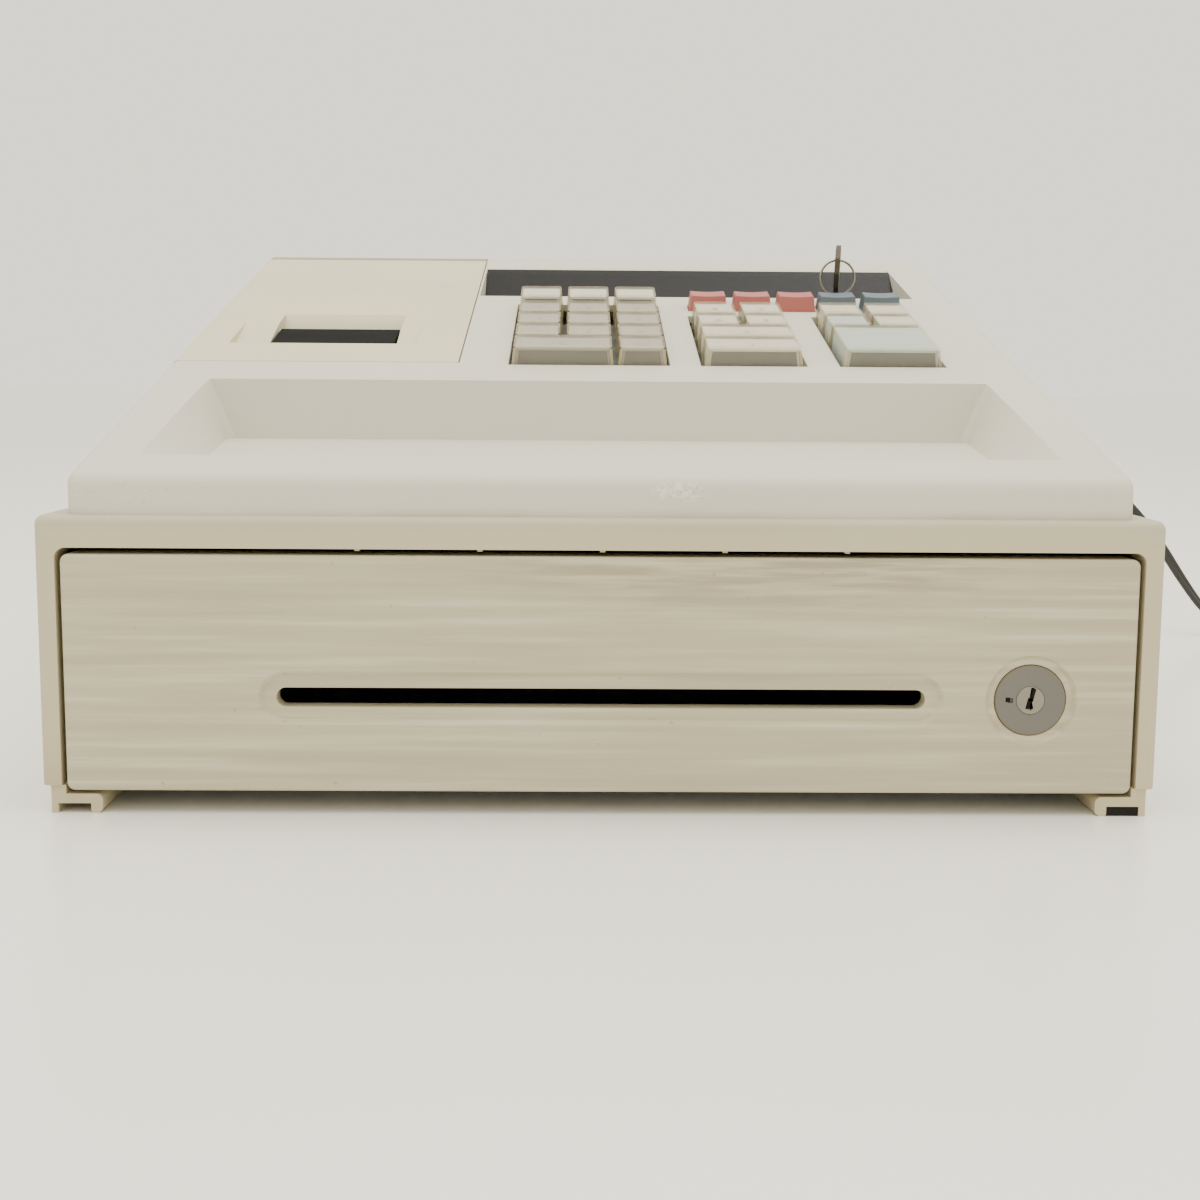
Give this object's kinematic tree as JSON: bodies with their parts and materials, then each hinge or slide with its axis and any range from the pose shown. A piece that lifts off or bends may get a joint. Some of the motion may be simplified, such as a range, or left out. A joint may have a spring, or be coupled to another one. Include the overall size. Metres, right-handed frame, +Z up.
{
  "type": "cash register",
  "caption": "Compact electronic cash register with a sloping keyboard, receipt printer, smoked display, mode key, change tray and a locking cash drawer.",
  "frame": {"origin": "centre of the footprint on the surface the register stands on", "axes": "+X to the operator's right, +Y from the drawer front to the back, +Z up"},
  "size_m": [0.6385, 0.4766, 0.2002],
  "materials": {
    "housing_plastic": "moulded beige ABS, slightly yellowed",
    "drawer_plastic": "moulded beige ABS with rubbed-in grime",
    "case_plastic": "fine-textured grey-white ABS",
    "cover_plastic": "yellowed cream ABS",
    "pad_rubber": "black rubber block",
    "sheet_steel": "zinc-plated sheet",
    "plated_steel": "zinc-plated",
    "smoked_window": "dark tinted acrylic",
    "black_plastic": "moulded black polystyrene",
    "contact_rubber": "silicone contact sheet",
    "circuit_board": "green laminate",
    "core_steel": "laminated transformer core",
    "lead_rubber": "black PVC flex",
    "plug_plastic": "moulded black plug",
    "lock_grey": "grey moulded lock escutcheon",
    "nickel": "nickel-plated",
    "clip_plastic": "grey moulded acetal",
    "platen_rubber": "black rubber roller",
    "paper": "white thermal paper",
    "rotor_plastic": "black moulded rotor",
    "key_grey": "grey keycap under a clear cover",
    "key_white": "white keycap under a clear cover",
    "key_cream": "cream keycap under a clear cover",
    "key_pale_blue": "pale blue keycap under a clear cover",
    "key_pink": "pink keycap",
    "key_blue": "grey-blue keycap"
  },
  "bodies": {
    "case": {"drawer_housing": "housing_plastic", "foot_rails": "housing_plastic", "rubber_pads": "pad_rubber", "base_plate": "sheet_steel", "drawer_latch": "plated_steel", "upper_case": "case_plastic", "display_window": "smoked_window", "printer_frame": "black_plastic", "key_contact_sheet": "contact_rubber", "main_board": "circuit_board", "transformer": "core_steel", "strain_relief": "lead_rubber", "mains_lead": "lead_rubber", "lead_coil": "lead_rubber", "mains_plug": "plug_plastic"},
    "drawer": {"drawer_front": "drawer_plastic", "drawer_pan": "sheet_steel", "cash_tray": "black_plastic", "lock_case": "lock_grey"},
    "lock": {"lock_plug": "nickel"},
    "clip_left": {"bill_clip_left": "clip_plastic"},
    "clip_middle": {"bill_clip_middle": "clip_plastic"},
    "clip_right": {"bill_clip_right": "clip_plastic"},
    "cover": {"printer_cover": "cover_plastic"},
    "platen": {"platen_roller": "platen_rubber"},
    "roll": {"paper_roll": "paper"},
    "customer_display": {"popup_display": "case_plastic"},
    "mode_switch": {"mode_rotor": "rotor_plastic", "mode_key": "nickel"},
    "ring": {"key_ring": "nickel"},
    "key_number_r1c1": {"key_number_r1c1": "key_white"},
    "key_number_r1c2": {"key_number_r1c2": "key_white"},
    "key_number_r1c3": {"key_number_r1c3": "key_white"},
    "key_number_r2c1": {"key_number_r2c1": "key_grey"},
    "key_number_r2c2": {"key_number_r2c2": "key_grey"},
    "key_number_r2c3": {"key_number_r2c3": "key_grey"},
    "key_number_r3c1": {"key_number_r3c1": "key_grey"},
    "key_number_r3c2": {"key_number_r3c2": "key_grey"},
    "key_number_r3c3": {"key_number_r3c3": "key_grey"},
    "key_number_r4c1": {"key_number_r4c1": "key_grey"},
    "key_number_r4c2": {"key_number_r4c2": "key_grey"},
    "key_number_r4c3": {"key_number_r4c3": "key_grey"},
    "key_number_wide": {"key_number_wide": "key_grey"},
    "key_number_corner": {"key_number_corner": "key_grey"},
    "key_department_r2c1": {"key_department_r2c1": "key_cream"},
    "key_department_r2c2": {"key_department_r2c2": "key_cream"},
    "key_department_r3c1": {"key_department_r3c1": "key_cream"},
    "key_department_r3c2": {"key_department_r3c2": "key_cream"},
    "key_department_bar_1": {"key_department_bar_1": "key_cream"},
    "key_department_bar_2": {"key_department_bar_2": "key_cream"},
    "key_tender_r2c1": {"key_tender_r2c1": "key_pale_blue"},
    "key_tender_r2c2": {"key_tender_r2c2": "key_cream"},
    "key_tender_r3c1": {"key_tender_r3c1": "key_cream"},
    "key_tender_r3c2": {"key_tender_r3c2": "key_cream"},
    "key_total": {"key_total": "key_pale_blue"},
    "key_function_1": {"key_function_1": "key_pink"},
    "key_function_2": {"key_function_2": "key_pink"},
    "key_function_3": {"key_function_3": "key_pink"},
    "key_function_4": {"key_function_4": "key_blue"},
    "key_function_5": {"key_function_5": "key_blue"}
  },
  "joints": [
    {"name": "drawer_slide", "type": "slide", "parent": "case", "child": "drawer", "axis": [0, -1, 0], "range_m": [0, 0.29]},
    {"name": "lock_turn", "type": "hinge", "parent": "drawer", "child": "lock", "pos_m": [0.1365, -0.202, 0.0376], "axis": [0, 1, 0], "range_deg": [0, 90]},
    {"name": "clip_left_lift", "type": "hinge", "parent": "drawer", "child": "clip_left", "pos_m": [-0.108, 0.101, 0.073], "axis": [-1, 0, 0], "range_deg": [0, 20], "stiffness_Nm_per_rad": 0.03, "springref_deg": -34.38},
    {"name": "clip_middle_lift", "type": "hinge", "parent": "drawer", "child": "clip_middle", "pos_m": [0, 0.101, 0.073], "axis": [-1, 0, 0], "range_deg": [0, 20], "stiffness_Nm_per_rad": 0.03, "springref_deg": -34.38},
    {"name": "clip_right_lift", "type": "hinge", "parent": "drawer", "child": "clip_right", "pos_m": [0.108, 0.101, 0.073], "axis": [-1, 0, 0], "range_deg": [0, 20], "stiffness_Nm_per_rad": 0.03, "springref_deg": -34.38},
    {"name": "cover_lift", "type": "hinge", "parent": "case", "child": "cover", "pos_m": [-0.1065, 0.14352, 0.19193], "axis": [-1, 0, 0], "range_deg": [0, 70]},
    {"name": "roll_spin", "type": "hinge", "parent": "case", "child": "roll", "pos_m": [-0.11025, 0.09679, 0.1407], "axis": [1, 0, 0], "continuous": true},
    {"name": "platen_spin", "type": "hinge", "parent": "case", "child": "platen", "pos_m": [-0.11, -0.00069, 0.13839], "axis": [1, 0, 0], "continuous": true},
    {"name": "customer_display_rise", "type": "slide", "parent": "case", "child": "customer_display", "axis": [0, 0, 1], "range_m": [0, 0.038]},
    {"name": "mode_turn", "type": "hinge", "parent": "case", "child": "mode_switch", "pos_m": [0.1108, 0.05031, 0.1742], "axis": [0, -0.2487, 0.9686], "range_deg": [-45, 45]},
    {"name": "ring_swing", "type": "hinge", "parent": "mode_switch", "child": "ring", "pos_m": [0.1108, 0.04548, 0.19299], "axis": [-0.9848, 0.1682, 0.0432], "range_deg": [0, 14]},
    {"name": "key_number_r1c1_press", "type": "slide", "parent": "case", "child": "key_number_r1c1", "axis": [0, 0.2487, -0.9686], "range_m": [0, 0.003], "stiffness_N_per_m": 180, "springref_m": -0.004},
    {"name": "key_number_r1c2_press", "type": "slide", "parent": "case", "child": "key_number_r1c2", "axis": [0, 0.2487, -0.9686], "range_m": [0, 0.003], "stiffness_N_per_m": 180, "springref_m": -0.004},
    {"name": "key_number_r1c3_press", "type": "slide", "parent": "case", "child": "key_number_r1c3", "axis": [0, 0.2487, -0.9686], "range_m": [0, 0.003], "stiffness_N_per_m": 180, "springref_m": -0.004},
    {"name": "key_number_r2c1_press", "type": "slide", "parent": "case", "child": "key_number_r2c1", "axis": [0, 0.2487, -0.9686], "range_m": [0, 0.003], "stiffness_N_per_m": 180, "springref_m": -0.004},
    {"name": "key_number_r2c2_press", "type": "slide", "parent": "case", "child": "key_number_r2c2", "axis": [0, 0.2487, -0.9686], "range_m": [0, 0.003], "stiffness_N_per_m": 180, "springref_m": -0.004},
    {"name": "key_number_r2c3_press", "type": "slide", "parent": "case", "child": "key_number_r2c3", "axis": [0, 0.2487, -0.9686], "range_m": [0, 0.003], "stiffness_N_per_m": 180, "springref_m": -0.004},
    {"name": "key_number_r3c1_press", "type": "slide", "parent": "case", "child": "key_number_r3c1", "axis": [0, 0.2487, -0.9686], "range_m": [0, 0.003], "stiffness_N_per_m": 180, "springref_m": -0.004},
    {"name": "key_number_r3c2_press", "type": "slide", "parent": "case", "child": "key_number_r3c2", "axis": [0, 0.2487, -0.9686], "range_m": [0, 0.003], "stiffness_N_per_m": 180, "springref_m": -0.004},
    {"name": "key_number_r3c3_press", "type": "slide", "parent": "case", "child": "key_number_r3c3", "axis": [0, 0.2487, -0.9686], "range_m": [0, 0.003], "stiffness_N_per_m": 180, "springref_m": -0.004},
    {"name": "key_number_r4c1_press", "type": "slide", "parent": "case", "child": "key_number_r4c1", "axis": [0, 0.2487, -0.9686], "range_m": [0, 0.003], "stiffness_N_per_m": 180, "springref_m": -0.004},
    {"name": "key_number_r4c2_press", "type": "slide", "parent": "case", "child": "key_number_r4c2", "axis": [0, 0.2487, -0.9686], "range_m": [0, 0.003], "stiffness_N_per_m": 180, "springref_m": -0.004},
    {"name": "key_number_r4c3_press", "type": "slide", "parent": "case", "child": "key_number_r4c3", "axis": [0, 0.2487, -0.9686], "range_m": [0, 0.003], "stiffness_N_per_m": 180, "springref_m": -0.004},
    {"name": "key_number_wide_press", "type": "slide", "parent": "case", "child": "key_number_wide", "axis": [0, 0.2487, -0.9686], "range_m": [0, 0.003], "stiffness_N_per_m": 180, "springref_m": -0.004},
    {"name": "key_number_corner_press", "type": "slide", "parent": "case", "child": "key_number_corner", "axis": [0, 0.2487, -0.9686], "range_m": [0, 0.003], "stiffness_N_per_m": 180, "springref_m": -0.004},
    {"name": "key_department_r2c1_press", "type": "slide", "parent": "case", "child": "key_department_r2c1", "axis": [0, 0.2487, -0.9686], "range_m": [0, 0.003], "stiffness_N_per_m": 180, "springref_m": -0.004},
    {"name": "key_department_r2c2_press", "type": "slide", "parent": "case", "child": "key_department_r2c2", "axis": [0, 0.2487, -0.9686], "range_m": [0, 0.003], "stiffness_N_per_m": 180, "springref_m": -0.004},
    {"name": "key_department_r3c1_press", "type": "slide", "parent": "case", "child": "key_department_r3c1", "axis": [0, 0.2487, -0.9686], "range_m": [0, 0.003], "stiffness_N_per_m": 180, "springref_m": -0.004},
    {"name": "key_department_r3c2_press", "type": "slide", "parent": "case", "child": "key_department_r3c2", "axis": [0, 0.2487, -0.9686], "range_m": [0, 0.003], "stiffness_N_per_m": 180, "springref_m": -0.004},
    {"name": "key_department_bar_1_press", "type": "slide", "parent": "case", "child": "key_department_bar_1", "axis": [0, 0.2487, -0.9686], "range_m": [0, 0.003], "stiffness_N_per_m": 180, "springref_m": -0.004},
    {"name": "key_department_bar_2_press", "type": "slide", "parent": "case", "child": "key_department_bar_2", "axis": [0, 0.2487, -0.9686], "range_m": [0, 0.003], "stiffness_N_per_m": 180, "springref_m": -0.004},
    {"name": "key_tender_r2c1_press", "type": "slide", "parent": "case", "child": "key_tender_r2c1", "axis": [0, 0.2487, -0.9686], "range_m": [0, 0.003], "stiffness_N_per_m": 180, "springref_m": -0.004},
    {"name": "key_tender_r2c2_press", "type": "slide", "parent": "case", "child": "key_tender_r2c2", "axis": [0, 0.2487, -0.9686], "range_m": [0, 0.003], "stiffness_N_per_m": 180, "springref_m": -0.004},
    {"name": "key_tender_r3c1_press", "type": "slide", "parent": "case", "child": "key_tender_r3c1", "axis": [0, 0.2487, -0.9686], "range_m": [0, 0.003], "stiffness_N_per_m": 180, "springref_m": -0.004},
    {"name": "key_tender_r3c2_press", "type": "slide", "parent": "case", "child": "key_tender_r3c2", "axis": [0, 0.2487, -0.9686], "range_m": [0, 0.003], "stiffness_N_per_m": 180, "springref_m": -0.004},
    {"name": "key_total_press", "type": "slide", "parent": "case", "child": "key_total", "axis": [0, 0.2487, -0.9686], "range_m": [0, 0.003], "stiffness_N_per_m": 180, "springref_m": -0.004},
    {"name": "key_function_1_press", "type": "slide", "parent": "case", "child": "key_function_1", "axis": [0, 0.2487, -0.9686], "range_m": [0, 0.003], "stiffness_N_per_m": 180, "springref_m": -0.004},
    {"name": "key_function_2_press", "type": "slide", "parent": "case", "child": "key_function_2", "axis": [0, 0.2487, -0.9686], "range_m": [0, 0.003], "stiffness_N_per_m": 180, "springref_m": -0.004},
    {"name": "key_function_3_press", "type": "slide", "parent": "case", "child": "key_function_3", "axis": [0, 0.2487, -0.9686], "range_m": [0, 0.003], "stiffness_N_per_m": 180, "springref_m": -0.004},
    {"name": "key_function_4_press", "type": "slide", "parent": "case", "child": "key_function_4", "axis": [0, 0.2487, -0.9686], "range_m": [0, 0.003], "stiffness_N_per_m": 180, "springref_m": -0.004},
    {"name": "key_function_5_press", "type": "slide", "parent": "case", "child": "key_function_5", "axis": [0, 0.2487, -0.9686], "range_m": [0, 0.003], "stiffness_N_per_m": 180, "springref_m": -0.004}
  ],
  "couplings": [
    {"joint": "platen_spin", "follows": "roll_spin", "ratio": 4.6667}
  ]
}
